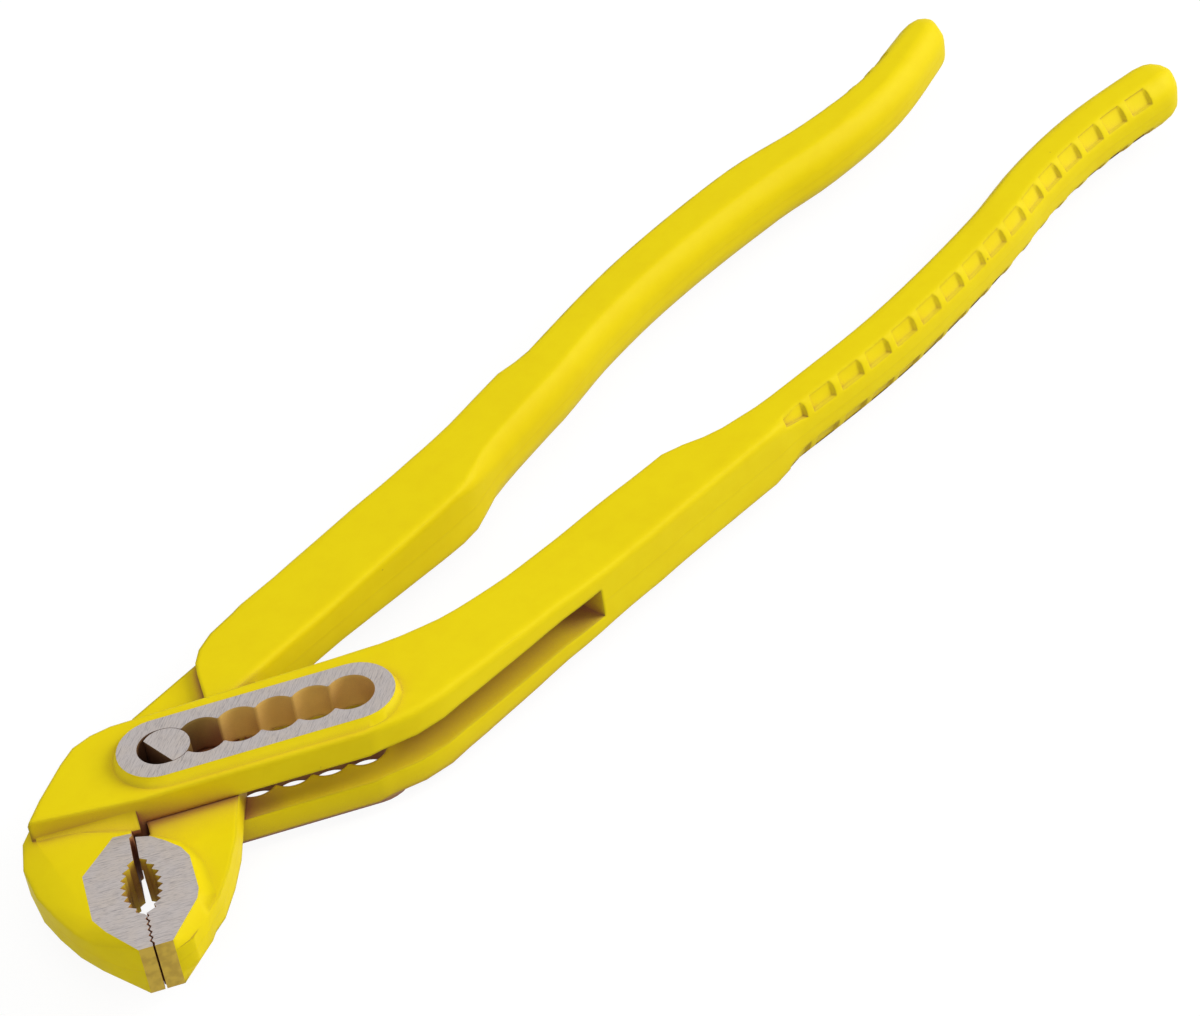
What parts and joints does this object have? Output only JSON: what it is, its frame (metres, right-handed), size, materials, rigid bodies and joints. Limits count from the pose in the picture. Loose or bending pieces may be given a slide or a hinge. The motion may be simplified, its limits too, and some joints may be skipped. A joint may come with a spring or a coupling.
{
  "type": "slip-joint water-pump pliers",
  "caption": "Slip-joint water-pump pliers: a tongue with a jaw passes through a slotted half and turns on a keyed pin; painted forged halves, ground jaw and boss faces.",
  "frame": {"origin": "middle of the tool's footprint, on the surface that its lower boss face rests on", "axes": "+X along the tool from the jaws to the handle ends, +Y from the slotted half's handle to the inner half's handle, +Z along the pivot pin"},
  "size_m": [0.2538, 0.0598, 0.0174],
  "materials": {
    "yellow_paint": "gloss",
    "ground_steel": "ground"
  },
  "bodies": {
    "slotted_body": {"slotted_half": "yellow_paint"},
    "inner_body": {"inner_half": "yellow_paint", "pivot_pin": "ground_steel"}
  },
  "joints": [
    {"name": "jaw_pivot", "type": "hinge", "parent": "slotted_body", "child": "inner_body", "pos_m": [-0.09501, 0.01491, 0.0087], "axis": [0, 0, 1], "range_deg": [0, 60]}
  ]
}
